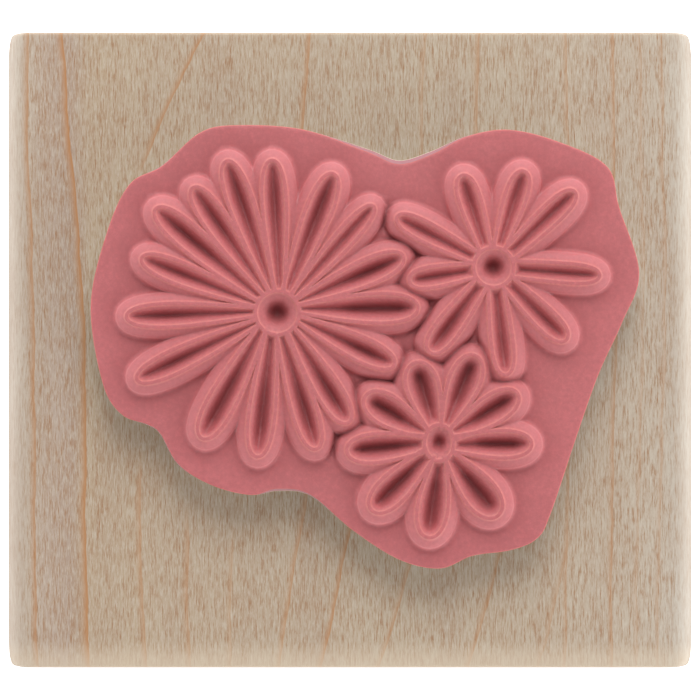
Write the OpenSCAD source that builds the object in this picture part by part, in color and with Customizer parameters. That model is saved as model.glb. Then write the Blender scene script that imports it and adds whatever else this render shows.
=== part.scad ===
// Wood mounted rubber stamp with three flower heads on one rubber die.
// The stamp lies on its back: the wood is below, the printing face looks up.
// The origin is the centre of the block's back face. +Z points out of the printing
// face, and the grain and the finger grooves of the block run along Y.

/* [Wood block] */
// Size across the grain, between the two grooved sides
block_w = 76.2; // [70:0.1:100]
// Size along the grain, between the two sawn ends
block_d = 70.6; // [60:0.1:100]
// Thickness of the block
block_t = 19; // [16:0.5:30]
// Radius of the long edges on the rubber side
face_edge_r = 2.2; // [0.5:0.1:3]
// Radius of the long edges on the back
back_edge_r = 3; // [0.5:0.1:4]
// Radius of the finger grooves
groove_r = 6; // [4:0.5:9]
// Depth of the finger grooves
groove_depth = 2.4; // [1:0.1:3.5]
// How far sanding draws the four upright corners in
corner_draw = 0.4; // [0.1:0.1:0.8]
// Length of edge that the sanded corners take
corner_run = 2.5; // [1:0.1:4]

/* [Cushion] */
// Thickness of the foam cushion
foam_t = 3.2; // [2:0.1:6]
// Thickness of each adhesive film
film_t = 0.15; // [0.1:0.05:0.3]

/* [Rubber die] */
// Thickness of the rubber sheet under the relief
sheet_t = 0.9; // [0.8:0.1:2]
// Height of the printing lines above the sheet
relief_h = 1.6; // [1.5:0.1:2]
// Width of the printing lines
line_w = 0.4; // [0.3:0.05:0.5]
// Height of the shoulder that the relief stands on
shoulder_h = 0.9; // [0.4:0.05:1]
// How far the shoulder reaches out from the middle of a line
shoulder_reach = 1.3; // [1:0.1:1.4]
// Height of the flank between the shoulder and a line
flank_h = 1.3; // [1.1:0.05:1.4]
// How far the flank reaches out from the middle of a line
flank_reach = 0.6; // [0.4:0.05:0.8]
// Radius of the pit in the middle of each flower
eye_r = 0.7; // [0.4:0.05:0.9]

/* [Index print] */
// Depth that the ink soaks into the back of the block
ink_depth = 0.1; // [0.05:0.05:0.3]
// Width of the inked lines
ink_w = 0.5; // [0.3:0.05:0.6]

/* [Hidden] */
$fn = 96;
eps = 0.01;

foam_z = block_t + film_t;
die_z = foam_z + foam_t + film_t;

// The hand cut edge of the die, anticlockwise turning points of a smooth curve.
die_edge = [
    [-28.6, 4.9], [-27.3, -3.6], [-25.2, -7.1], [-22.3, -8.2], [-20.9, -9.2],
    [-18.9, -12.6], [-15.3, -14.9], [-10.9, -16], [-8.1, -15.3], [-4.4, -15.9],
    [0.2, -19.8], [5.4, -23.1], [9.9, -24.1], [13.5, -22.7], [17.6, -22.1],
    [20.5, -20.9], [22, -18.4], [24.9, -9.8], [27.4, -2.7], [30, 3],
    [31.9, 8.5], [29.7, 15.7], [28.3, 20.3], [22.6, 23.1], [17.3, 24.3],
    [12.8, 23.5], [9.1, 21.6], [5.4, 20.5], [1.8, 21.9], [-5.1, 24.3],
    [-12.2, 24.8], [-16.5, 24], [-20.7, 20.3], [-24.3, 18.3], [-26.8, 13]
];
edge_steps = 5; // straight pieces between two turning points

// Each flower: centre, ring radii along X and Y, bluntness of the petal tips, and its petals.
// Each petal: direction of the tip, length from the centre, width, direction of the root,
// half width at the root.
flowers = [
    [[-8, 4.1], [2.4, 2.4], 8, [
        [2, 15.5, 3.4, 10, 0.41],
        [24, 15.2, 3, 28, 0.3],
        [48, 15.8, 2.2, 46, 0.34],
        [68, 16.5, 3, 64, 0.53],
        [92, 16.8, 2.8, 84, 0.48],
        [108.5, 17.6, 2.9, 104, 0.3],
        [124, 16.6, 2.8, 120, 0.3],
        [139.5, 17.6, 3, 139, 0.45],
        [158, 16.1, 2.6, 157, 0.34],
        [181.5, 16.6, 2.7, 178, 0.48],
        [205.5, 17.1, 2.7, 206, 0.34],
        [239, 16.1, 3.2, 226, 0.46],
        [262, 16, 3, 254, 0.64],
        [286, 15.6, 2.9, 280, 0.48],
        [303, 14.4, 2.9, 308, 0.41],
        [336, 14.1, 2.8, 343, 0.34]
    ]],
    [[15.8, 9.1], [2.2, 2.2], 8, [
        [-4.5, 11.7, 2.2, -5, 0.9],
        [43, 12.2, 2.4, 40, 0.75],
        [72.5, 11.1, 2.5, 74, 0.6],
        [109, 10.7, 2.5, 114, 0.65],
        [152.5, 12, 2.3, 153, 0.65],
        [189, 9.4, 2.4, 189, 0.8],
        [233, 11.7, 2.8, 232, 0.75],
        [276.5, 11.9, 2.5, 276, 0.85],
        [315, 11.3, 2.5, 313, 0.75]
    ]],
    [[9.8, -10.2], [1.6, 2], 6, [
        [-1, 10.2, 3.2, -4, 0.85],
        [32, 10.2, 3.4, 32, 0.6],
        [67.5, 10.4, 3.7, 67, 0.42],
        [106.5, 9.2, 3.8, 105, 0.72],
        [148, 9.6, 3.6, 147, 0.42],
        [185, 10.2, 3.4, 183, 0.88],
        [225, 10.5, 3.5, 227, 0.7],
        [263.5, 10.5, 3.6, 274, 0.66],
        [309, 10.3, 3.9, 308, 0.5]
    ]]
];
petal_steps = 9;    // straight pieces along each side of a petal
widest = 0.8;       // share of its length at which a petal is widest
narrowest = 0.08;   // half width under which a groove closes up

// A point on the smooth curve through b and c, at share t of the way between them.
function curve_point(a, b, c, d, t) =
    (2 * b + (c - a) * t + (2 * a - 5 * b + 4 * c - d) * t * t
        + (3 * b - a - 3 * c + d) * t * t * t) / 2;

function direction(angle) = [cos(angle), sin(angle)];

// Half the width of a petal at share u of its length.
function half_width(u, root, width, bluntness) =
    (root + (width / 2 - root) * sin(90 * min(1, u / widest)))
        * sqrt(1 - pow(u, bluntness));

// The outline of the die, its adhesive films and its cushion.
module die_outline() {
    count = len(die_edge);
    polygon([
        for (i = [0 : count - 1], k = [0 : edge_steps - 1])
            curve_point(
                die_edge[(i + count - 1) % count],
                die_edge[i],
                die_edge[(i + 1) % count],
                die_edge[(i + 2) % count],
                k / edge_steps
            )
    ]);
}

// One petal of a flower, grown on every side but its root.
module petal(flower, data, grow) {
    start = flower[1][0] * direction(data[3]);
    tip = (data[1] + grow) * direction(data[0]);
    along = tip - start;
    across = [-along.y, along.x] / norm(along);
    side = [
        for (k = [0 : petal_steps])
            let (
                u = sin(90 * k / petal_steps),
                half = half_width(u, data[4] + grow, data[2] + 2 * grow, flower[2])
            )
            if (half > narrowest || k == petal_steps)
                [u, half]
    ];
    translate(flower[0])
        polygon(concat(
            [for (p = side) start + p[0] * along - p[1] * across],
            [for (i = [len(side) - 2 : -1 : 0]) start + side[i][0] * along + side[i][1] * across]
        ));
}

// The ring round the eye of a flower, filled in and grown on every side.
module ring_disc(flower, grow) {
    translate(flower[0])
        polygon([
            for (angle = [0 : 10 : 350])
                [(flower[1][0] + grow) * cos(angle), (flower[1][1] + grow) * sin(angle)]
        ]);
}

// Everything within a distance of the lines of the picture, each line a closed loop.
module lines(reach) {
    for (flower = flowers) {
        for (data = flower[3])
            difference() {
                petal(flower, data, reach);
                petal(flower, data, -reach);
            }
        difference() {
            ring_disc(flower, reach);
            ring_disc(flower, -reach);
        }
    }
}

// The three flowers filled in and grown on every side.
module filled_flowers(grow) {
    for (flower = flowers) {
        for (data = flower[3])
            petal(flower, data, grow);
        ring_disc(flower, grow);
    }
}

// The pit in the middle of each flower, through the shoulder.
module eyes() {
    for (flower = flowers)
        translate([flower[0].x, flower[0].y, 0])
            cylinder(h = shoulder_h + eps, r1 = eye_r / 2, r2 = eye_r);
}

// End view of the block moulding: rounded long edges and a finger groove in each side.
module block_profile() {
    reach = block_w / 2;
    difference() {
        union() {
            translate([-reach, back_edge_r])
                square([block_w, block_t - back_edge_r - face_edge_r]);
            translate([-reach + back_edge_r, 0])
                square([block_w - 2 * back_edge_r, block_t / 2]);
            translate([-reach + face_edge_r, block_t / 2])
                square([block_w - 2 * face_edge_r, block_t / 2]);
            for (side = [-1, 1]) {
                translate([side * (reach - back_edge_r), back_edge_r])
                    circle(r = back_edge_r);
                translate([side * (reach - face_edge_r), block_t - face_edge_r])
                    circle(r = face_edge_r);
            }
        }
        for (side = [-1, 1])
            translate([side * (reach + groove_r - groove_depth), block_t / 2])
                circle(r = groove_r);
    }
}

// Plan view of the block, its four corners drawn in a little by sanding.
module block_plan() {
    x = block_w / 2;
    y = block_d / 2;
    polygon([
        for (sign = [[1, 1], [-1, 1], [-1, -1], [1, -1]])
            let (
                by_side = [sign.x * x, sign.y * (y - corner_run)],
                by_corner = [sign.x * (x - corner_draw), sign.y * (y - corner_draw / 2)],
                by_end = [sign.x * (x - corner_run), sign.y * y]
            )
            each (sign.x * sign.y > 0 ? [by_side, by_corner, by_end] : [by_end, by_corner, by_side])
    ]);
}

module wood_block() {
    color([0.82, 0.71, 0.57])
        difference() {
            intersection() {
                translate([0, block_d / 2, 0])
                    rotate([90, 0, 0])
                        linear_extrude(height = block_d)
                            block_profile();
                linear_extrude(height = block_t)
                    block_plan();
            }
            translate([0, 0, -eps])
                linear_extrude(height = ink_depth + eps)
                    lines(ink_w / 2);
        }
}

module index_print() {
    color([0.2, 0.17, 0.17])
        linear_extrude(height = ink_depth)
            lines(ink_w / 2);
}

module block_adhesive() {
    color([0.9, 0.89, 0.84])
        translate([0, 0, block_t])
            linear_extrude(height = film_t)
                die_outline();
}

module foam_cushion() {
    color([0.78, 0.79, 0.8])
        translate([0, 0, foam_z])
            linear_extrude(height = foam_t)
                die_outline();
}

module die_adhesive() {
    color([0.9, 0.89, 0.84])
        translate([0, 0, foam_z + foam_t])
            linear_extrude(height = film_t)
                die_outline();
}

module rubber_die() {
    color([0.78, 0.42, 0.44])
        translate([0, 0, die_z]) {
            linear_extrude(height = sheet_t)
                die_outline();
            translate([0, 0, sheet_t])
                difference() {
                    union() {
                        linear_extrude(height = shoulder_h)
                            filled_flowers(shoulder_reach);
                        linear_extrude(height = flank_h)
                            lines(flank_reach);
                        linear_extrude(height = relief_h)
                            lines(line_w / 2);
                    }
                    eyes();
                }
        }
}

wood_block();
index_print();
block_adhesive();
foam_cushion();
die_adhesive();
rubber_die();
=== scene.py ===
import math

import bpy
import numpy as np
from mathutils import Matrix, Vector
from mathutils.geometry import delaunay_2d_cdt
from mathutils.kdtree import KDTree
from mathutils.noise import noise


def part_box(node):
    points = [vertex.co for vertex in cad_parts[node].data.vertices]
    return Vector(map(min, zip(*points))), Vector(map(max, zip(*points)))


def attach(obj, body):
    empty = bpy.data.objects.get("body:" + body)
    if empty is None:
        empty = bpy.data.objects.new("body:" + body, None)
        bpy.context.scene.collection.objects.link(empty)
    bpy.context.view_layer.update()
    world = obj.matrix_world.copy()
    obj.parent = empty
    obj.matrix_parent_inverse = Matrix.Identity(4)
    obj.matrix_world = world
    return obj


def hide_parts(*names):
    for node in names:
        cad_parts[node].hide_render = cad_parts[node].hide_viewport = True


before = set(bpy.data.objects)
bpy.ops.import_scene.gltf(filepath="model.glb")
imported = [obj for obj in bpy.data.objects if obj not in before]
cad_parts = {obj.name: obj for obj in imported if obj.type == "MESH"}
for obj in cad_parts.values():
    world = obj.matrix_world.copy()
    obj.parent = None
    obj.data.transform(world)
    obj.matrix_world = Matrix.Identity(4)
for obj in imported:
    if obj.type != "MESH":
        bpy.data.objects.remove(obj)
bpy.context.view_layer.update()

MM = 0.001


# ---------------------------------------------------------------- sizes from the CAD

def cad_size(node):
    """Lowest and highest corner of a CAD node, in millimetres."""
    low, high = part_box(node)
    return np.array(low) / MM, np.array(high) / MM


BLOCK_HIGH = cad_size("wood_block")[1]
FOAM_LOW, FOAM_HIGH = cad_size("foam_cushion")
DIE_LOW = cad_size("rubber_die")[0]
# radii of the long edges of the block, on the rubber side and on the back
FACE_EDGE_R = 2.2
BACK_EDGE_R = 3
# finger grooves along both long sides
GROOVE_R = 6
GROOVE_DEPTH = 2.4
# how far sanding draws the upright corners in, over what length, and eases the sawn ends
CORNER_DRAW = 0.4
CORNER_RUN = 2.5
END_EASE = 0.3
# top of the rubber sheet that the relief stands on
SHEET_TOP = DIE_LOW[2] + 0.9
# lines of the picture on the back, and how far they stand out of the wood
INK_W = 0.5
INK_PROUD = 0.03


# ---------------------------------------------------------------- camera and light

# Places and sizes in metres, the lens and the sensor in millimetres.
CAMERA_HEIGHT = 0.55
CAMERA_LENS = 245.6
SENSOR_W = 36
LIGHT_TARGET = (0, 0, 0.01)
LIGHT_SIZE = 0.5


def make_camera():
    data = bpy.data.cameras.new("camera")
    data.sensor_width = SENSOR_W
    data.lens = CAMERA_LENS
    data.clip_start = 0.01
    camera = bpy.data.objects.new("camera", data)
    camera.location = (0, 0, CAMERA_HEIGHT)
    bpy.context.collection.objects.link(camera)
    bpy.context.scene.camera = camera


def make_area_light(name, place, power):
    """A round soft light that looks at the stamp."""
    data = bpy.data.lights.new(name, "AREA")
    data.shape = "DISK"
    data.size = LIGHT_SIZE
    data.energy = power
    light = bpy.data.objects.new(name, data)
    light.location = place
    light.rotation_mode = "QUATERNION"
    light.rotation_quaternion = (Vector(LIGHT_TARGET) - Vector(place)).to_track_quat("-Z", "Y")
    bpy.context.collection.objects.link(light)


def make_world(horizon, zenith):
    """A soft tent of light, bright at the sides and dim overhead."""
    world = bpy.data.worlds.new("tent")
    world.use_nodes = True
    bpy.context.scene.world = world
    tree = Tree(world.node_tree)
    towards = tree.node("ShaderNodeTexCoord").outputs["Generated"]
    height = tree.node("ShaderNodeSeparateXYZ", {"Vector": towards}).outputs["Z"]
    low = tree.math("POWER", tree.math("SUBTRACT", 1, height, True), 2)
    strength = tree.spread(low, 0, 1, zenith, horizon)
    background = tree.node("ShaderNodeBackground", {"Color": (1, 1, 1, 1), "Strength": strength})
    output = tree.node("ShaderNodeOutputWorld")
    tree.link(background.outputs["Background"], output.inputs["Surface"])


# ---------------------------------------------------------------- node trees

class Tree:
    """A short way to write a node tree."""

    def __init__(self, nodes):
        self.nodes = nodes
        nodes.nodes.clear()

    def link(self, start, end):
        self.nodes.links.new(start, end)

    def node(self, kind, values=None, **settings):
        """A new node with its settings, and with values or links in its inputs."""
        made = self.nodes.nodes.new(kind)
        for name, value in settings.items():
            setattr(made, name, value)
        for name, value in (values or {}).items():
            if isinstance(value, bpy.types.NodeSocket):
                self.link(value, made.inputs[name])
            else:
                made.inputs[name].default_value = value
        return made

    def math(self, operation, first, second=0.0, clamp=False):
        """The value of a math node."""
        return self.node(
            "ShaderNodeMath", {0: first, 1: second}, operation=operation, use_clamp=clamp
        ).outputs[0]

    def spread(self, value, low, high, to_low=0.0, to_high=1.0, smooth=False):
        """A value between low and high, carried over to a new range and held inside it."""
        kind = "SMOOTHSTEP" if smooth else "LINEAR"
        return self.node("ShaderNodeMapRange", {
            "Value": value, "From Min": low, "From Max": high, "To Min": to_low, "To Max": to_high
        }, interpolation_type=kind).outputs[0]

    def mix(self, factor, first, second):
        """A colour between two colours."""
        made = self.node("ShaderNodeMix", data_type="RGBA")
        for index, value in ((0, factor), (6, first), (7, second)):
            if isinstance(value, bpy.types.NodeSocket):
                self.link(value, made.inputs[index])
            else:
                made.inputs[index].default_value = value if index == 0 else (*value, 1)[:4]
        return made.outputs[2]

    def place(self, scale=(1, 1, 1), turn=(0, 0, 0), shift=(0, 0, 0)):
        """Coordinates on the object in millimetres times scale."""
        at = self.node("ShaderNodeTexCoord").outputs["Object"]
        return self.node("ShaderNodeMapping", {
            "Vector": at,
            "Scale": tuple(s / MM for s in scale),
            "Rotation": turn,
            "Location": shift
        }).outputs[0]

    def noise(self, vector, scale=1.0, detail=2.0, roughness=0.5):
        return self.node("ShaderNodeTexNoise", {
            "Vector": vector, "Scale": scale, "Detail": detail, "Roughness": roughness
        }).outputs["Fac"]

    def bump(self, height, strength, distance_mm, normal=None):
        values = {"Height": height, "Strength": strength, "Distance": distance_mm * MM}
        if normal is not None:
            values["Normal"] = normal
        return self.node("ShaderNodeBump", values).outputs[0]

    def surface(self, values):
        shader = self.node("ShaderNodeBsdfPrincipled", values)
        output = self.node("ShaderNodeOutputMaterial")
        self.link(shader.outputs[0], output.inputs["Surface"])


def new_material(name):
    material = bpy.data.materials.new(name)
    material.use_nodes = True
    return material, Tree(material.node_tree)


def srgb(red, green, blue):
    """A linear colour from the usual 0 to 255 values, none of them below 11."""
    return tuple(((value / 255 + 0.055) / 1.055) ** 2.4 for value in (red, green, blue))


def shaded(colour, share):
    """The colour made lighter or darker."""
    return tuple(channel * share for channel in colour)


# ---------------------------------------------------------------- materials

RUBBER = srgb(205, 117, 120)
# Painted sheen on the slopes of the shoulders.
RUBBER_SHOULDER_SHEEN = srgb(216, 132, 136)
# Painted highlight on the edges of the printing lines.
RUBBER_LINE_EDGE_HIGHLIGHT = srgb(230, 150, 138)
# Painted highlight on the rims of the shoulders.
RUBBER_RIM_HIGHLIGHT = srgb(222, 154, 156)
# Painted shade in the hollows and in the grooves between flowers.
RUBBER_HOLLOW_SHADE = srgb(128, 58, 60)
# Painted shade on the sheet beside the relief.
RUBBER_FOOT_SHADE = srgb(170, 90, 94)
# Painted highlight on the lip of the rim, orange red where it catches the light.
RUBBER_LIP_HIGHLIGHT = srgb(214, 118, 104)
RUBBER_CUT = srgb(186, 132, 138)
# Painted light over the rubber, painted highlights and painted shade: the attribute of the die that
# says where, how much, and the colour.
RUBBER_TINTS = [
    ("depth", 0.5, RUBBER_HOLLOW_SHADE), ("foot_shade", 0.38, RUBBER_FOOT_SHADE),
    ("shoulder", 0.3, RUBBER_SHOULDER_SHEEN), ("shoulder_rim", 0.4, RUBBER_RIM_HIGHLIGHT),
    ("line_edge_highlight", 0.48, RUBBER_LINE_EDGE_HIGHLIGHT), ("lip", 0.6, RUBBER_LIP_HIGHLIGHT)
]


def rubber_material():
    """Moulded red rubber: matt and finely mottled, with painted highlights on the edges of its
    lines, on its rims and on its lip, painted sheen on its shoulders, and painted shade beside its
    relief and in its hollows.
    """
    material, tree = new_material("moulded red rubber")
    wide = tree.noise(tree.place(), 0.09, 3, 0.55)
    colour = tree.mix(tree.spread(wide, 0.35, 0.65), RUBBER, shaded(RUBBER, 0.93))
    mottle = tree.noise(tree.place(), 2.2, 4, 0.6)
    colour = tree.mix(tree.spread(mottle, 0.5, 0.75, 0, 0.7), colour, shaded(RUBBER, 1.14))
    colour = tree.mix(tree.spread(mottle, 0.5, 0.25, 0, 0.7), colour, shaded(RUBBER, 0.84))
    for name, share, tint in RUBBER_TINTS:
        here = tree.node("ShaderNodeAttribute", attribute_name=name).outputs["Fac"]
        colour = tree.mix(tree.math("MULTIPLY", here, share), colour, tint)
    fine = tree.bump(tree.noise(tree.place(), 12, 3, 0.6), 0.35, 0.03)
    coarse = tree.bump(mottle, 0.3, 0.04, fine)
    tree.surface({
        "Base Color": colour, "Roughness": 0.55, "Specular IOR Level": 0.4, "Normal": coarse,
        "Subsurface Weight": 0.3, "Subsurface Radius": (1, 0.4, 0.35), "Subsurface Scale": 0.4 * MM
    })
    return material


def cut_rubber_material():
    """The cut wall of the die, paler and rougher than the moulded face."""
    material, tree = new_material("cut red rubber")
    streak = tree.noise(tree.place((1.5, 1.5, 6)), 1, 3, 0.6)
    colour = tree.mix(tree.spread(streak, 0.3, 0.7), RUBBER_CUT, shaded(RUBBER_CUT, 0.86))
    tree.surface({
        "Base Color": colour, "Roughness": 0.75, "Specular IOR Level": 0.25,
        "Normal": tree.bump(streak, 0.5, 0.08)
    })
    return material


def foam_material():
    """Light grey closed-cell foam."""
    material, tree = new_material("closed cell foam")
    cells = tree.node("ShaderNodeTexVoronoi", {"Vector": tree.place(), "Scale": 5.5})
    shade = tree.spread(cells.outputs["Distance"], 0.1, 0.6)
    colour = tree.mix(shade, srgb(140, 142, 145), srgb(176, 178, 180))
    tree.surface({
        "Base Color": colour, "Roughness": 0.85, "Specular IOR Level": 0.2,
        "Normal": tree.bump(shade, 0.6, 0.08)
    })
    return material


def adhesive_material():
    """Clear cream adhesive film with small waves."""
    material, tree = new_material("adhesive film")
    wave = tree.noise(tree.place(), 1.2, 2, 0.5)
    colour = tree.mix(wave, srgb(232, 226, 208), srgb(214, 206, 184))
    tree.surface({
        "Base Color": colour, "Roughness": 0.35, "Normal": tree.bump(wave, 0.3, 0.05)
    })
    return material


def ink_material():
    """Dark ink that has soaked unevenly into the wood."""
    material, tree = new_material("index ink")
    fibre = tree.noise(tree.place((7, 0.6, 7)), 1, 3, 0.6)
    colour = tree.mix(tree.spread(fibre, 0.35, 0.75), srgb(38, 32, 33), srgb(92, 76, 66))
    tree.surface({
        "Base Color": colour, "Roughness": 0.7, "Specular IOR Level": 0.2,
        "Normal": tree.bump(fibre, 0.3, 0.02)
    })
    return material


# Each growth line: its place across the grain at the top, middle and bottom of the block,
# where it fades in and out along the grain, its strength and its half width. A line that
# fades in at -GRAIN_END and out at GRAIN_END runs the whole length.
GRAIN_END = 40
LINE_FADE = 6
GROWTH_LINES = [
    [-35.8, -35.4, -34.6, -GRAIN_END, GRAIN_END, 0.75, 0.12],
    [-32, -29.8, -29.2, -GRAIN_END, GRAIN_END, 1.0, 0.14],
    [-16, -30, -34, 18, GRAIN_END, 0.8, 0.12],
    [-4.2, -6.5, -9, 12, GRAIN_END, 0.75, 0.12],
    [8.5, 8, 7, 10, GRAIN_END, 0.4, 0.1],
    [14.3, 14.6, 14, 8, GRAIN_END, 0.6, 0.12],
    [24.2, 24.6, 24, -GRAIN_END, GRAIN_END, 0.5, 0.1],
    [29.4, 29.6, 29.2, -GRAIN_END, GRAIN_END, 0.6, 0.1],
    [32.4, 32.6, 32, -GRAIN_END, GRAIN_END, 0.3, 0.1],
    [34.8, 35, 34.4, -GRAIN_END, GRAIN_END, 0.35, 0.1],
    [-23, -23.2, -23, -GRAIN_END, -10, 0.6, 0.12],
    [-18.5, -18, -18.2, -GRAIN_END, -16, 0.55, 0.12],
    [-12, -12.6, -13.6, -GRAIN_END, -18, 0.4, 0.1],
    [2, -2.4, -8.2, -GRAIN_END, -12, 0.65, 0.12],
    [7, 3.6, -3.4, -GRAIN_END, -12, 0.8, 0.12],
    [14, 12.4, 3.2, -GRAIN_END, -16, 0.6, 0.12],
    [18, 20.6, 13.2, -GRAIN_END, -16, 0.6, 0.12],
    [26, 27.5, 21, -GRAIN_END, -18, 0.4, 0.12]
]
# Ground tone across the grain: place, and its red, green and blue. The first and last place
# are TONE_REACH from the middle.
TONE_REACH = 38
# Its palest places, on the rounded long edges, are partly the maple's own tone and partly painted
# highlight where those edges catch the light from the sides.
MAPLE_TONES = [
    [-38, 216, 204, 190], [-35.6, 202, 186, 168], [-34, 196, 176, 160], [-31, 186, 164, 148],
    [-29, 198, 178, 152], [-15, 197, 178, 155], [5, 199, 182, 159], [20, 199, 182, 160],
    [31, 203, 188, 169], [35, 204, 191, 174], [38, 212, 204, 192]
]
# Growth lines, ruddy patches, dark fibres and pale flecks on the planed faces.
MAPLE_LINE = srgb(192, 138, 92)
MAPLE_PATCH = srgb(176, 150, 130)
MAPLE_STREAK = srgb(170, 128, 92)
MAPLE_FLECK = srgb(216, 206, 190)
# Painted highlight on the rounded edges of the ends; the sawn ends and their rings, darker partly
# as end grain is and partly as painted shade; and painted shade on the long sides.
MAPLE_END_HIGHLIGHT = srgb(232, 214, 190)
MAPLE_END_GRAIN_AND_SHADE = srgb(142, 110, 80)
MAPLE_RING = srgb(112, 82, 56)
MAPLE_SIDE_SHADE = srgb(146, 118, 92)


def maple_material():
    """Sanded, unfinished maple with its grain along Y and its growth rings through Z."""
    material, tree = new_material("maple")
    at = tree.node("ShaderNodeSeparateXYZ", {"Vector": tree.place()})
    side_to_side, along, up = at.outputs
    across = side_to_side
    lean = tree.math("MULTIPLY", tree.math("SUBTRACT", up, BLOCK_HIGH[2]), 0.35)
    sway = tree.spread(tree.noise(tree.place((0.03, 0.05, 0.03)), 1, 1, 0.5), 0, 1, -0.9, 0.9)
    quiver = tree.spread(tree.noise(tree.place((0.4, 0.35, 0.4)), 1, 2, 0.5), 0, 1, -0.2, 0.2)
    for shift in (lean, sway, quiver):
        across = tree.math("ADD", across, shift)

    # ground tone from one side of the board to the other
    tones = tree.node("ShaderNodeValToRGB", {"Fac": tree.spread(across, -TONE_REACH, TONE_REACH)})
    stops = tones.color_ramp.elements
    for place, *tone in MAPLE_TONES:
        # the ramp starts with two stops, its first and its last
        given = {-TONE_REACH: stops[0], TONE_REACH: stops[-1]}
        stop = given.get(place) or stops.new((place + TONE_REACH) / (2 * TONE_REACH))
        stop.color = (*srgb(*tone), 1)
    patch = tree.noise(tree.place((0.16, 0.03, 0.1)), 1, 3, 0.6)
    ground = tree.mix(tree.spread(patch, 0.45, 0.75, 0, 0.5), tones.outputs[0], MAPLE_PATCH)

    # fibres, streaks and pale flecks, all thin and drawn out along the grain
    fibre = tree.noise(tree.place((6.5, 0.6, 6.5)), 1, 3, 0.7)
    colour = tree.mix(tree.spread(fibre, 0.44, 0.68), ground, MAPLE_STREAK)
    streak = tree.noise(tree.place((2.6, 0.16, 2.6), shift=(31, 7, 3)), 1, 2, 0.6)
    colour = tree.mix(tree.spread(streak, 0.5, 0.75, 0, 0.3), colour, MAPLE_STREAK)
    fleck = tree.noise(tree.place((8, 0.8, 8), shift=(5, 19, 40)), 1, 3, 0.7)
    colour = tree.mix(tree.spread(fleck, 0.46, 0.72, 0, 0.8), colour, MAPLE_FLECK)
    # the planed long edges show less of them
    calm = tree.spread(tree.math("ABSOLUTE", side_to_side), 35, 37.5, 0, 0.6, True)
    colour = tree.mix(calm, colour, ground)

    # growth lines, each a parabola along the grain
    reach = BLOCK_HIGH[1]
    for top, middle, bottom, fade_in, fade_out, strength, half_width in GROWTH_LINES:
        slope = (top - bottom) / 2 / reach
        bend = ((top + bottom) / 2 - middle) / reach ** 2
        turning = tree.math("ADD", tree.math("MULTIPLY", along, bend), slope)
        curve = tree.math("MULTIPLY", turning, along)
        offset = tree.math("SUBTRACT", across, tree.math("ADD", curve, middle))
        # sharp on one side and fading slowly on the other, as late wood is
        sharp = tree.spread(offset, half_width, 0, 0, 1, True)
        slow = tree.spread(offset, -7 * half_width, 0, 0, 1)
        here = tree.math("MULTIPLY", sharp, tree.math("POWER", slow, 1.8))
        here = tree.math("MULTIPLY", here, strength)
        if fade_in > -GRAIN_END:
            begun = tree.spread(along, fade_in, fade_in + LINE_FADE, 0, 1, True)
            here = tree.math("MULTIPLY", here, begun)
        if fade_out < GRAIN_END:
            not_ended = tree.spread(along, fade_out, fade_out - LINE_FADE, 0, 1, True)
            here = tree.math("MULTIPLY", here, not_ended)
        colour = tree.mix(here, colour, MAPLE_LINE)

    # the rounded edges of the ends get a painted highlight, most of it at the front end, the sawn
    # ends show darker rings and pores, darker partly as end grain is and partly as painted shade,
    # and the long sides get painted shade
    end = tree.spread(tree.math("ABSOLUTE", along), reach - 0.7, reach - 0.1, 0, 0.15, True)
    colour = tree.mix(end, colour, MAPLE_END_HIGHLIGHT)
    front_highlight = tree.spread(along, 3.5 - reach, 0.3 - reach, 0, 0.5, True)
    colour = tree.mix(front_highlight, colour, MAPLE_END_HIGHLIGHT)
    facing = tree.node("ShaderNodeSeparateXYZ", {
        "Vector": tree.node("ShaderNodeTexCoord").outputs["Normal"]
    })
    rings = tree.noise(tree.place((1.1, 0, 0.14), turn=(0, 0.35, 0)), 1, 2, 0.6)
    pores = tree.noise(tree.place((5, 1, 5), shift=(9, 2, 5)), 1, 2, 0.7)
    grain = tree.math("ADD", tree.math("MULTIPLY", rings, 0.65), tree.math("MULTIPLY", pores, 0.35))
    # the sawn ends: end grain with its rings and pores, darker partly as end grain is and partly as
    # painted shade
    sawn_colour = tree.mix(tree.spread(grain, 0.4, 0.6), MAPLE_END_GRAIN_AND_SHADE, MAPLE_RING)
    sawn = tree.spread(tree.math("ABSOLUTE", facing.outputs["Y"]), 0.8, 0.97, 0, 0.9)
    colour = tree.mix(sawn, colour, sawn_colour)
    # painted shade on the upright faces of the long sides
    upright = tree.spread(tree.math("ABSOLUTE", facing.outputs["Z"]), 0.55, 0.15, 0, 0.45)
    upright = tree.math("MULTIPLY", upright, tree.spread(sawn, 0.9, 0))
    colour = tree.mix(upright, colour, MAPLE_SIDE_SHADE)

    rough = tree.spread(fibre, 0.3, 0.7, 0.55, 0.7)
    tree.surface({
        "Base Color": colour, "Roughness": rough, "Specular IOR Level": 0.3,
        "Normal": tree.bump(fibre, 0.3, 0.03)
    })
    return material


def floor_material():
    """White paper that glows a little, so that it stays white under the stamp's own shade."""
    material, tree = new_material("white floor")
    tree.surface({
        "Base Color": (0.9, 0.9, 0.9, 1), "Roughness": 0.9, "Specular IOR Level": 0.1,
        "Emission Color": (1, 1, 1, 1), "Emission Strength": 0.65
    })
    return material


# ---------------------------------------------------------------- meshes

def make_piece(name, node, points, faces, materials):
    """A mesh from points in millimetres, riding on the stamp in place of a CAD node."""
    mesh = bpy.data.meshes.new(name)
    mesh.from_pydata([tuple(v) for v in np.asarray(points, float) * MM], [], faces)
    mesh.update()
    for material in materials:
        mesh.materials.append(material)
    for face in mesh.polygons:
        face.use_smooth = True
    piece = bpy.data.objects.new(name, mesh)
    bpy.context.collection.objects.link(piece)
    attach(piece, "root")
    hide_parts(node)
    return piece


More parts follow.
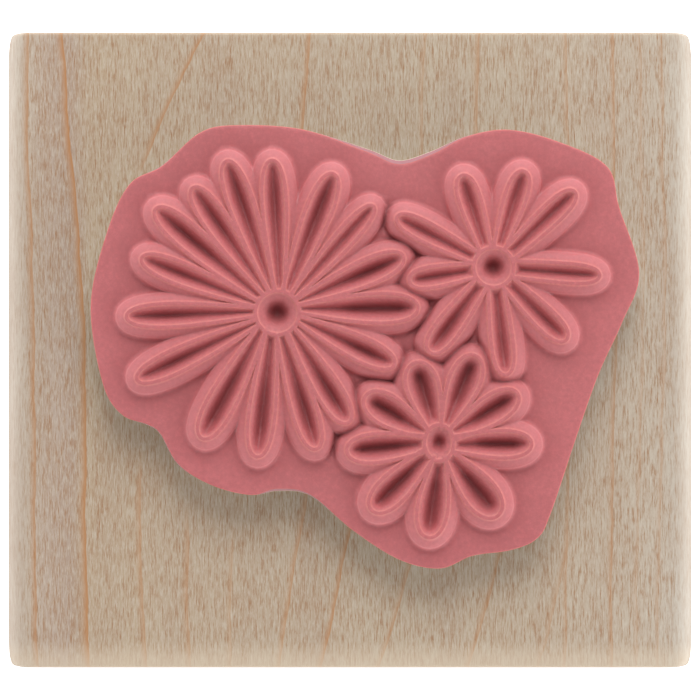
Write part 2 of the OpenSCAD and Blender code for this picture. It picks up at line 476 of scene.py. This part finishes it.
def loft(rings):
    """Points and quads that join closed rings of equally many points, first to last."""
    count = len(rings[0])
    points = np.concatenate(rings)
    faces = [
        (r * count + i, r * count + (i + 1) % count,
         (r + 1) * count + (i + 1) % count, (r + 1) * count + i)
        for r in range(len(rings) - 1)
        for i in range(count)
    ]
    return points, faces


def evenly(points, step, closed):
    """The same line again, with points about step apart."""
    if closed:
        points = np.vstack([points, points[:1]])
    length = np.concatenate([[0], np.cumsum(np.linalg.norm(np.diff(points, axis=0), axis=1))])
    count = max(3, math.ceil(length[-1] / step))
    at = np.linspace(0, length[-1], count + 1)
    if closed:
        at = at[:-1]
    return np.stack([np.interp(at, length, points[:, k]) for k in range(points.shape[1])], axis=1)


def normals(points, closed):
    """Unit vectors square to a line, on its right hand side."""
    if closed:
        along = np.roll(points, -1, 0) - np.roll(points, 1, 0)
    else:
        along = np.gradient(points, axis=0)
    along = along / np.linalg.norm(along, axis=1)[:, None]
    return np.stack([along[:, 1], -along[:, 0]], axis=1)


# ---------------------------------------------------------------- wood block

EDGE_FACETS = 10
GROOVE_FACETS = 14


def block_profile():
    """End view of the moulding, from the middle of its back anticlockwise: X, Z."""
    half = BLOCK_HIGH[0]
    thick = BLOCK_HIGH[2]
    middle = thick / 2
    groove_x = half + GROOVE_R - GROOVE_DEPTH
    open_angle = math.acos((groove_x - half) / GROOVE_R)

    def arc(x, z, radius, start, end, steps):
        turn = np.linspace(start, end, steps + 1)
        return np.stack([x + radius * np.cos(turn), z + radius * np.sin(turn)], axis=1)

    quarter = math.pi / 2
    right = np.vstack([
        [[0, INK_PROUD]],
        arc(half - BACK_EDGE_R, BACK_EDGE_R + INK_PROUD, BACK_EDGE_R, -quarter, 0, EDGE_FACETS),
        arc(groove_x, middle, GROOVE_R, math.pi + open_angle, math.pi - open_angle, GROOVE_FACETS),
        arc(half - FACE_EDGE_R, thick - FACE_EDGE_R, FACE_EDGE_R, 0, quarter, EDGE_FACETS)
    ])
    left = right[:0:-1] * [-1, 1]
    return np.vstack([right, left])


def make_wood_block(material):
    profile = block_profile()
    outward = normals(profile, True)
    half_w, half_d = BLOCK_HIGH[0], BLOCK_HIGH[1]
    # stations along the grain: how far the profile is drawn in there, and the place
    quarter = np.linspace(0, math.pi / 2, 5)
    ease = [(END_EASE * (1 - math.sin(a)), half_d - END_EASE * (1 - math.cos(a))) for a in quarter]
    stations = [(0, half_d - CORNER_RUN * share) for share in (1, 0.5, 0.32)] + ease[::-1]
    stations = [(inset, -y) for inset, y in reversed(stations)] + stations
    rings = []
    for inset, y in stations:
        ring = profile - outward * inset
        # sanding draws the upright corners in
        run = max(0, abs(y) - (half_d - CORNER_RUN)) / CORNER_RUN
        near_side = np.clip((np.abs(ring[:, 0]) - half_w + CORNER_RUN) / CORNER_RUN, 0, 1)
        x = ring[:, 0] - np.sign(ring[:, 0]) * CORNER_DRAW * run ** 2 * near_side
        y_here = y - math.copysign(CORNER_DRAW / 2, y) * near_side ** 2 * run ** 2
        rings.append(np.stack([x, y_here, ring[:, 1]], axis=1))
    points, faces = loft(rings)
    count = len(profile)
    faces.append(tuple(range(count))[::-1])
    faces.append(tuple(range(len(points) - count, len(points))))
    faces = [tuple(reversed(face)) for face in faces]
    piece = make_piece("maple_block", "wood_block", points, faces, [material])
    flat_ends(piece, 2)
    return piece


def flat_ends(piece, count):
    """Keeps the last faces of a piece flat, with sharp borders."""
    mesh = piece.data
    last = list(mesh.polygons)[-count:]
    for face in last:
        face.use_smooth = False
    border = {tuple(sorted(key)) for face in last for key in face.edge_keys}
    for edge in mesh.edges:
        if tuple(sorted(edge.key)) in border:
            edge.use_edge_sharp = True


# ---------------------------------------------------------------- outline of the die

# The hand cut edge of the die: turning points of a smooth curve, anticlockwise, and how
# far the cut leans outward at each.
DIE_EDGE = [
    [-28.6, 4.9, 0], [-27.3, -3.6, 0], [-25.2, -7.1, 0], [-22.3, -8.2, 0.1],
    [-20.9, -9.2, 0.1], [-18.9, -12.6, 0.1], [-15.3, -14.9, 0], [-10.9, -16, 0],
    [-8.1, -15.3, 0.25], [-4.4, -15.9, 0.15], [0.2, -19.8, 0], [5.4, -23.1, 0],
    [9.9, -24.1, 0], [13.5, -22.7, 0], [17.6, -22.1, 0], [20.5, -20.9, 0],
    [22, -18.4, 0], [24.9, -9.8, 0], [27.4, -2.7, 0], [30, 3, 0],
    [31.9, 8.5, 0], [29.7, 15.7, 0], [28.3, 20.3, 0], [22.6, 23.1, 0],
    [17.3, 24.3, 0], [12.8, 23.5, 0.1], [9.1, 21.6, 0.35], [5.4, 20.5, 0.4],
    [1.8, 21.9, 0.3], [-5.1, 24.3, 0], [-12.2, 24.8, 0], [-16.5, 24, 0],
    [-20.7, 20.3, 0.1], [-24.3, 18.3, 0], [-26.8, 13, 0]
]
EDGE_STEPS = 10
LEAST_LEAN = 0.02
# Gaps between points along the edge, in the layers under the die and in the die itself.
LAYER_EDGE_GAP = 0.6
DIE_EDGE_GAP = 0.45


def die_outline(gap):
    """The cut edge with points about gap apart: places, outward directions and leans."""
    turns = np.array(DIE_EDGE)
    a, b, c, d = (np.roll(turns, shift, 0)[:, None, :] for shift in (1, 0, -1, -2))
    t = (np.arange(EDGE_STEPS) / EDGE_STEPS)[None, :, None]
    curve = (2 * b + (c - a) * t + (2 * a - 5 * b + 4 * c - d) * t ** 2
             + (3 * b - a - 3 * c + d) * t ** 3) / 2
    curve = evenly(curve.reshape(-1, 3), gap, True)
    return curve[:, :2], normals(curve[:, :2], True), np.maximum(curve[:, 2], LEAST_LEAN)


def raised(flat, height):
    """Flat points with a height added."""
    return np.column_stack([flat, np.broadcast_to(height, len(flat))])


def make_layer(name, node, low, high, steps, material):
    """A cut layer under the die. Each step is a share of its height, a share of the lean of
    the cut, and how far the edge bulges out there."""
    place, outward, lean = die_outline(LAYER_EDGE_GAP)
    rings = [
        raised(place + outward * (lean[:, None] * share + bulge), low + (high - low) * rise)
        for rise, share, bulge in steps
    ]
    points, faces = loft(rings)
    count = len(place)
    faces.append(tuple(range(count))[::-1])
    faces.append(tuple(range(len(points) - count, len(points))))
    piece = make_piece(name, node, points, faces, [material])
    flat_ends(piece, 2)
    return piece


# ---------------------------------------------------------------- lines of the picture

# Each flower: centre, ring radii along X and Y, bluntness of the petal tips, and its petals.
# Each petal: direction of the tip, length from the centre, width, direction of the root,
# half width at the root. A petal is widest at WIDEST of its length.
FLOWERS = [
    [[-8, 4.1], [2.4, 2.4], 8, [
        [2, 15.5, 3.4, 10, 0.41], [24, 15.2, 3, 28, 0.3], [48, 15.8, 2.2, 46, 0.34],
        [68, 16.5, 3, 64, 0.53], [92, 16.8, 2.8, 84, 0.48], [108.5, 17.6, 2.9, 104, 0.3],
        [124, 16.6, 2.8, 120, 0.3], [139.5, 17.6, 3, 139, 0.45], [158, 16.1, 2.6, 157, 0.34],
        [181.5, 16.6, 2.7, 178, 0.48], [205.5, 17.1, 2.7, 206, 0.34],
        [239, 16.1, 3.2, 226, 0.46], [262, 16, 3, 254, 0.64], [286, 15.6, 2.9, 280, 0.48],
        [303, 14.4, 2.9, 308, 0.41], [336, 14.1, 2.8, 343, 0.34]
    ]],
    [[15.8, 9.1], [2.2, 2.2], 8, [
        [-4.5, 11.7, 2.2, -5, 0.9], [43, 12.2, 2.4, 40, 0.75], [72.5, 11.1, 2.5, 74, 0.6],
        [109, 10.7, 2.5, 114, 0.65], [152.5, 12, 2.3, 153, 0.65], [189, 9.4, 2.4, 189, 0.8],
        [233, 11.7, 2.8, 232, 0.75], [276.5, 11.9, 2.5, 276, 0.85], [315, 11.3, 2.5, 313, 0.75]
    ]],
    [[9.8, -10.2], [1.6, 2], 6, [
        [-1, 10.2, 3.2, -4, 0.85], [32, 10.2, 3.4, 32, 0.6], [67.5, 10.4, 3.7, 67, 0.42],
        [106.5, 9.2, 3.8, 105, 0.72], [148, 9.6, 3.6, 147, 0.42], [185, 10.2, 3.4, 183, 0.88],
        [225, 10.5, 3.5, 227, 0.7], [263.5, 10.5, 3.6, 274, 0.66], [309, 10.3, 3.9, 308, 0.5]
    ]]
]
WIDEST = 0.8
SIDE_STEPS = 60
RING_STEPS = 90


def direction(degrees):
    return np.array([math.cos(math.radians(degrees)), math.sin(math.radians(degrees))])


def petal_line(flower, petal):
    """The raised line of a petal, from the ring round the tip and back to the ring."""
    centre, ring, bluntness, _ = flower
    tip_angle, length, width, root_angle, root = petal
    start = ring[0] * direction(root_angle)
    along = length * direction(tip_angle) - start
    across = np.array([-along[1], along[0]]) / np.linalg.norm(along)
    u = np.sin(np.linspace(0, math.pi / 2, SIDE_STEPS + 1))[:, None]
    swell = np.sin(math.pi / 2 * np.minimum(1, u / WIDEST))
    half = (root + (width / 2 - root) * swell) * np.sqrt(1 - u ** bluntness)
    side = start + u * along - half * across
    other = start + u * along + half * across
    return np.vstack([side, other[-2::-1]]) + centre


def circle(count):
    """Points on a circle of radius 1."""
    turn = np.linspace(0, 2 * math.pi, count + 1)[:-1]
    return np.stack([np.cos(turn), np.sin(turn)], axis=1)


def ring_line(flower):
    centre, ring = flower[:2]
    return circle(RING_STEPS) * ring + centre


LINES = [
    [(petal_line(flower, petal), False) for petal in flower[3]] + [(ring_line(flower), True)]
    for flower in FLOWERS
]


class Near:
    """How far any point is from the nearest of a set of points."""

    def __init__(self, targets):
        self.tree = KDTree(len(targets))
        for index, (x, y) in enumerate(targets):
            self.tree.insert((x, y, 0), index)
        self.tree.balance()

    def __call__(self, points):
        return np.array([self.tree.find((x, y, 0))[2] for x, y in points])


def near_lines(lines):
    """The distance from the lines, which stand as points TRACE_STEP apart."""
    return Near(np.vstack([evenly(line, TRACE_STEP, closed) for line, closed in lines]))


def inside(points, outline):
    """Which points lie inside a closed outline."""
    x, y = points[:, 0], points[:, 1]
    found = np.zeros(len(points), bool)
    for (ax, ay), (bx, by) in zip(outline, np.roll(outline, -1, 0)):
        crosses = (ay > y) != (by > y)
        if ay != by:
            found ^= crosses & (x < (bx - ax) * (y - ay) / (by - ay) + ax)
    return found


# ---------------------------------------------------------------- relief of the die

LINE_STEP = 0.21
TRACE_STEP = 0.03
TOLERANCE = 0.01
# Distances from a line at which the mesh has points.
LEVELS = [
    0.12, 0.165, 0.205, 0.25, 0.33, 0.45, 0.6, 0.78, 0.96, 1.1, 1.2, 1.27, 1.33, 1.42,
    1.55, 1.75, 1.95, 2.15
]
# The last of them on the inner side of a ring, where the bowl has points of its own, and
# where those start, with their steps inward and around.
BOWL_LEVEL = 0.33
BOWL_START = 0.45
BOWL_IN = 0.13
BOWL_ROUND = 0.15

# Height above the sheet at a distance from the middle of the nearest line.
RIDGE = [[0, 1.58], [0.12, 1.6], [0.165, 1.59], [0.205, 1.56], [0.25, 1.44]]
RIDGE_EDGE, RIDGE_HEIGHT = RIDGE[-1]
SHOULDER = RIDGE + [
    [0.33, 1.3], [0.45, 1.23], [0.6, 1.15], [0.78, 1.05], [0.96, 0.93], [1.1, 0.8],
    [1.2, 0.65], [1.27, 0.47], [1.33, 0.29], [1.42, 0.12], [1.55, 0.03], [1.7, 0]
]
EYE = RIDGE + [
    [0.33, 1.38], [0.45, 1.32], [0.6, 1.24], [0.78, 1.12], [0.96, 0.96], [1.1, 0.8],
    [1.27, 0.54], [1.42, 0.26], [1.6, -0.1], [1.8, -0.45], [2.1, -0.8], [2.4, -0.9]
]
# How deep a petal is hollowed out under its lines, by its half width at that place.
PETAL_DEPTH = [
    [0.25, 0], [0.3, 0.1], [0.4, 0.22], [0.6, 0.48], [0.8, 0.75], [1, 0.95],
    [1.2, 1.25], [1.4, 1.8], [1.9, 2.2]
]
# The axis of that hollow ends this share of the petal's width before the tip.
TIP_SHARE = 0.4
# The groove between two flowers, half way across: its reach to each side and its depth.
GAP_W = 1.2
GAP_DEPTH = 0.3
# The least gaps between points of the mesh: along its rim, on the ridges, in the valleys,
# on the flanks and on the flat of the sheet.
RIM_GAP = 0.05
RIDGE_GAP = 0.04
VALLEY_GAP = 0.07
FLANK_GAP = 0.085
FLAT_GAP = 0.9
# The points of the flat start this far from the rim and from the lines.
FLAT_FROM_RIM = 0.7
FLAT_FROM_LINE = 1.6
# The lip that the blade left on the rim, and the waves of the moulded face.
LIP_W = 0.12
LIP_DROP = 0.05
WAVE_HEIGHT = 0.02
WAVE_SCALE = 0.12
# Rows of points along the rim stand this far in from it.
RIM_INSETS = [0, LIP_W, 0.4]
# The cut wall: shares of its height from the top down, and of its lean at each.
WALL_STEPS = [(0.12, 0.16), (0.45, 0.5), (0.8, 0.85), (1, 1)]


def relief_points(distance):
    """Points on lines of equal distance from the picture: the ridges, the valleys between
    them, and the flanks in between."""
    ridges, valleys, flanks = [], [], []
    for line, closed in sum(LINES, []):
        centre = evenly(line, LINE_STEP, closed)
        across = normals(centre, closed)
        ridges.append(centre)
        for side in (across, -across):
            alive = np.arange(len(centre))
            before = 0.0
            last = BOWL_LEVEL if closed and side is not across else LEVELS[-1]
            for level in [level for level in LEVELS if level <= last]:
                clear = distance(centre[alive] + side[alive] * level) > level - TOLERANCE
                group = ridges if level <= RIDGE_EDGE else flanks
                group.append(centre[alive[clear]] + side[alive[clear]] * level)
                stopped = alive[~clear]
                valleys.append(valley_points(centre, side, stopped, before, level, distance))
                alive = alive[clear]
                before = level
                if not len(alive):
                    break
    for flower in FLOWERS:
        flanks += bowl_points(flower)
    return ridges, valleys, flanks


def bowl_points(flower):
    """Rings of points inside the ring of a flower, evenly spaced."""
    centre, ring = flower[:2]
    rings = []
    for reach in np.arange(ring[0] - BOWL_START, 0.05, -BOWL_IN):
        count = max(6, round(2 * math.pi * reach / BOWL_ROUND))
        rings.append(centre + circle(count) * ring * (reach / ring[0]))
    return rings


def valley_points(centre, side, which, low, high, distance):
    """The points between two levels at which another line becomes the nearest one."""
    low = np.full(len(which), low)
    high = np.full(len(which), high)
    for _ in range(6):
        middle = (low + high) / 2
        clear = distance(centre[which] + side[which] * middle[:, None]) > middle - TOLERANCE
        low = np.where(clear, middle, low)
        high = np.where(clear, high, middle)
    return centre[which] + side[which] * low[:, None]


def thinned(groups):
    """The points of each group in turn, less those nearer than its gap to an earlier one."""
    cell = max(gap for gap, _ in groups)
    cells = {}
    kept = []
    for gap, parts in groups:
        for x, y in np.vstack([part for part in parts if len(part)]):
            i, j = math.floor(x / cell), math.floor(y / cell)
            near = (
                other
                for a in (i - 1, i, i + 1)
                for b in (j - 1, j, j + 1)
                for other in cells.get((a, b), ())
            )
            if all((x - ox) ** 2 + (y - oy) ** 2 > gap * gap for ox, oy in near):
                cells.setdefault((i, j), []).append((x, y))
                kept.append((x, y))
    return np.array(kept)


def smooth(share):
    """The same share with a soft start and a soft end."""
    return share ** 2 * (3 - 2 * share)


def petal_heights(points, d, flower, petal):
    """Heights inside a petal, hollow with high flanks and a round bottom along its axis."""
    centre, ring = flower[:2]
    tip_angle, length, width, root_angle, _ = petal
    start = centre + ring[0] * direction(root_angle)
    along = centre + length * direction(tip_angle) - start
    reach = np.linalg.norm(along)
    along = along / reach
    on_axis = np.clip((points - start) @ along, 0, reach - TIP_SHARE * width)
    half = d + np.linalg.norm(points - start - on_axis[:, None] * along, axis=1)
    share = np.clip((d - RIDGE_EDGE) / np.maximum(half - RIDGE_EDGE, 0.05), 0, 1)
    bowl = 0.45 * share ** 1.5 + 0.55 * smooth(share)
    drop = np.interp(half, *np.array(PETAL_DEPTH).T) * bowl
    return np.interp(d, *np.array(RIDGE).T) - drop


def eye_heights(points, d, flower):
    """Heights inside the ring of a flower: the bowl of the widest ring, scaled to fit."""
    centre, ring = flower[:2]
    widest = max(other[1][0] for other in FLOWERS)
    inward = 1 - np.linalg.norm((points - centre) / ring, axis=1)
    edge = RIDGE_EDGE / ring[0]
    drawn = RIDGE_EDGE + np.clip((inward - edge) / (1 - edge), 0, 1) * (widest - RIDGE_EDGE)
    bowl = np.interp(drawn, *np.array(EYE).T) - RIDGE_HEIGHT
    line = np.interp(d, *np.array(RIDGE).T)
    return np.where(d > RIDGE_EDGE, RIDGE_HEIGHT + bowl * ring[0] / widest, line)


def between_flowers(points):
    """How near each point is to the groove midway between two flowers, 0 to 1."""
    nearest = np.sort([near_lines(lines)(points) for lines in LINES], axis=0)
    share = np.clip(1 - (nearest[1] - nearest[0]) / GAP_W, 0, 1)
    return smooth(share)


def relief_heights(points, distance):
    """Height over the sheet, and how far each point takes painted light: painted highlights on the
    edges of a printing line and on the rims of the shoulders, painted sheen on the shoulders, and
    painted shade on the sheet beside the relief and with the depth of a hollow."""
    d = distance(points)
    height = np.interp(d, *np.array(SHOULDER).T)
    petals = np.full(len(points), -1.0)
    for flower in FLOWERS:
        for petal in flower[3]:
            hit = inside(points, petal_line(flower, petal))
            inner = petal_heights(points[hit], d[hit], flower, petal)
            petals[hit] = np.maximum(petals[hit], inner)
    hollow = petals > -1
    height[hollow] = petals[hollow]
    for flower in FLOWERS:
        hit = inside(points, ring_line(flower))
        height[hit] = eye_heights(points[hit], d[hit], flower)
        hollow |= hit
    gap = between_flowers(points) * np.interp(d, [0.3, 0.8, 1.4, 1.8], [0, 1, 1, 0])
    gap[hollow] = 0
    height -= GAP_DEPTH * gap
    # painted shade, darker the deeper a hollow lies, and along the groove between two flowers
    hollow_shade = np.clip((1 - height) / 1.5, 0, 1) * hollow
    gap_shade = gap * np.interp(d, [0.8, 1.3], [0.6, 1.3])
    outer = ~hollow * (1 - gap)
    looks = {
        # painted highlight on the edges of the printing lines
        "line_edge_highlight": np.interp(d, [0.165, 0.205, 0.25, 0.33], [0, 1, 0.7, 0]),
        # painted sheen on the slopes of the shoulders
        "shoulder": np.interp(d, [0.33, 0.6, 1.2, 1.33], [0, 1, 1, 0]) * outer,
        # painted highlight along the rims of the shoulders
        "shoulder_rim": np.interp(d, [1.1, 1.2, 1.27, 1.33], [0, 1, 0.8, 0]) * outer,
        # painted shade on the sheet beside the relief
        "foot_shade": np.interp(d, [1.3, 1.6, 2.3, 3.8], [0, 1, 0.6, 0]) * ~hollow,
        # painted shade in the hollows and in the grooves between flowers
        "depth": np.maximum(hollow_shade, gap_shade)
    }
    return height, looks


def die_mesh(place, outward, distance):
    """The die seen from above: its points, the first of them its border, and its triangles."""
    ridges, valleys, flanks = relief_points(distance)
    rims = [place - outward * inset for inset in RIM_INSETS]
    relief = thinned([
        (RIM_GAP, rims), (RIDGE_GAP, ridges), (VALLEY_GAP, valleys), (FLANK_GAP, flanks)
    ])
    # a hair further out, so that the border itself counts as inside
    relief = relief[inside(relief, place + outward * 0.001)]
    border = len(place)
    if not np.allclose(relief[:border], place):
        raise ValueError("the border of the die was thinned")

    # the flat of the sheet, with points that are far apart
    low, high = place.min(0), place.max(0)
    flat = np.stack(np.meshgrid(
        np.arange(low[0], high[0], FLAT_GAP), np.arange(low[1], high[1], FLAT_GAP)
    ), axis=-1).reshape(-1, 2)
    flat = flat[inside(flat, place - outward * FLAT_FROM_RIM)]
    flat = flat[distance(flat) > FLAT_FROM_LINE]

    edges = [(i, (i + 1) % border) for i in range(border)]
    made, _, triangles, _, _, _ = delaunay_2d_cdt(
        [Vector(p) for p in np.vstack([relief, flat])], edges, [], 1, 1e-6
    )
    return np.array([tuple(p) for p in made]), triangles


def make_die(made, triangles, outline, distance, moulded, cut):
    place, outward, lean = outline
    border = len(place)
    height, looks = relief_heights(made, distance)
    # the lip: it drops the rim, and it also places the rim's painted highlight
    looks["lip"] = np.clip(1 - Near(place)(made) / LIP_W, 0, 1)
    wave = np.array([noise((x * WAVE_SCALE, y * WAVE_SCALE, 4)) for x, y in made])
    height += SHEET_TOP + WAVE_HEIGHT * (wave - 1) - LIP_DROP * looks["lip"]

    # the cut wall, from the border down, and the flat underside
    previous = [int(np.argmin(((made - p) ** 2).sum(1))) for p in place]
    levels = [raised(made, height)]
    faces = [tuple(t) for t in triangles]
    base = len(made)
    wall_start = len(faces)
    drop = SHEET_TOP - DIE_LOW[2]
    for share, out in WALL_STEPS:
        levels.append(raised(place + outward * (lean[:, None] * out), SHEET_TOP - share * drop))
        ids = list(range(base, base + border))
        faces += [
            (previous[(i + 1) % border], previous[i], ids[i], ids[(i + 1) % border])
            for i in range(border)
        ]
        previous = ids
        base += border
    faces.append(tuple(reversed(previous)))
    piece = make_piece(
        "red_rubber_die", "rubber_die", np.vstack(levels), faces, [moulded, cut]
    )
    mesh = piece.data
    for face in mesh.polygons[wall_start:]:
        face.material_index = 1
    flat_ends(piece, 1)
    for name, values in looks.items():
        padded = np.zeros(base, np.float32)
        padded[:len(values)] = values
        mesh.attributes.new(name, "FLOAT", "POINT").data.foreach_set("value", padded)


def make_index_print(made, triangles, distance, material):
    """The inked picture on the back, standing a hair proud of the wood: the triangles of the
    die that lie on its lines, twice, with walls between."""
    near = distance(made) < INK_W / 2 + TOLERANCE
    chosen = [t for t in triangles if near[t[0]] and near[t[1]] and near[t[2]]]
    used = sorted({v for t in chosen for v in t})
    index = {v: i for i, v in enumerate(used)}
    flat = made[used]
    count = len(used)
    points = np.vstack([raised(flat, 0), raised(flat, 2 * INK_PROUD)])
    low = [tuple(index[v] for v in reversed(t)) for t in chosen]
    high = [tuple(index[v] + count for v in t) for t in chosen]
    sides = {side for t in high for side in zip(t, t[1:] + t[:1])}
    walls = [(b, a, a - count, b - count) for a, b in sorted(sides) if (b, a) not in sides]
    return make_piece("index_ink", "index_print", points, low + high + walls, [material])


# ---------------------------------------------------------------- the scene

FLOOR_HALF = 2.5


def make_floor(material):
    mesh = bpy.data.meshes.new("floor")
    corners = [(x * FLOOR_HALF, y * FLOOR_HALF, 0) for x, y in ((-1, -1), (1, -1), (1, 1), (-1, 1))]
    mesh.from_pydata(corners, [], [(0, 1, 2, 3)])
    mesh.materials.append(material)
    floor = bpy.data.objects.new("floor", mesh)
    bpy.context.collection.objects.link(floor)


bpy.context.scene.view_settings.view_transform = "Standard"
make_camera()
make_world(horizon=2.45, zenith=0.24)
make_area_light("key", (0.05, 0.55, 0.52), 2.8)
make_area_light("fill", (0.55, -0.45, 0.2), 1.0)
make_floor(floor_material())

make_wood_block(maple_material())
film = adhesive_material()
make_layer(
    "lower_adhesive_film", "block_adhesive",
    BLOCK_HIGH[2], FOAM_LOW[2], [(0, 1.2, 0), (1, 1.2, 0)], film
)
foam = make_layer(
    "foam_pad", "foam_cushion", FOAM_LOW[2], FOAM_HIGH[2],
    [(0, 1.2, 0), (0.15, 1.2, -0.03), (0.5, 1.15, -0.09), (0.85, 1.1, -0.02), (1, 1.1, 0)],
    foam_material()
)
make_layer(
    "upper_adhesive_film", "die_adhesive",
    FOAM_HIGH[2], DIE_LOW[2], [(0, 1.1, 0), (1, 1, 0)], film
)
outline = die_outline(DIE_EDGE_GAP)
distance = near_lines(sum(LINES, []))
made, triangles = die_mesh(*outline[:2], distance)
make_die(made, triangles, outline, distance, rubber_material(), cut_rubber_material())
make_index_print(made, triangles, distance, ink_material())
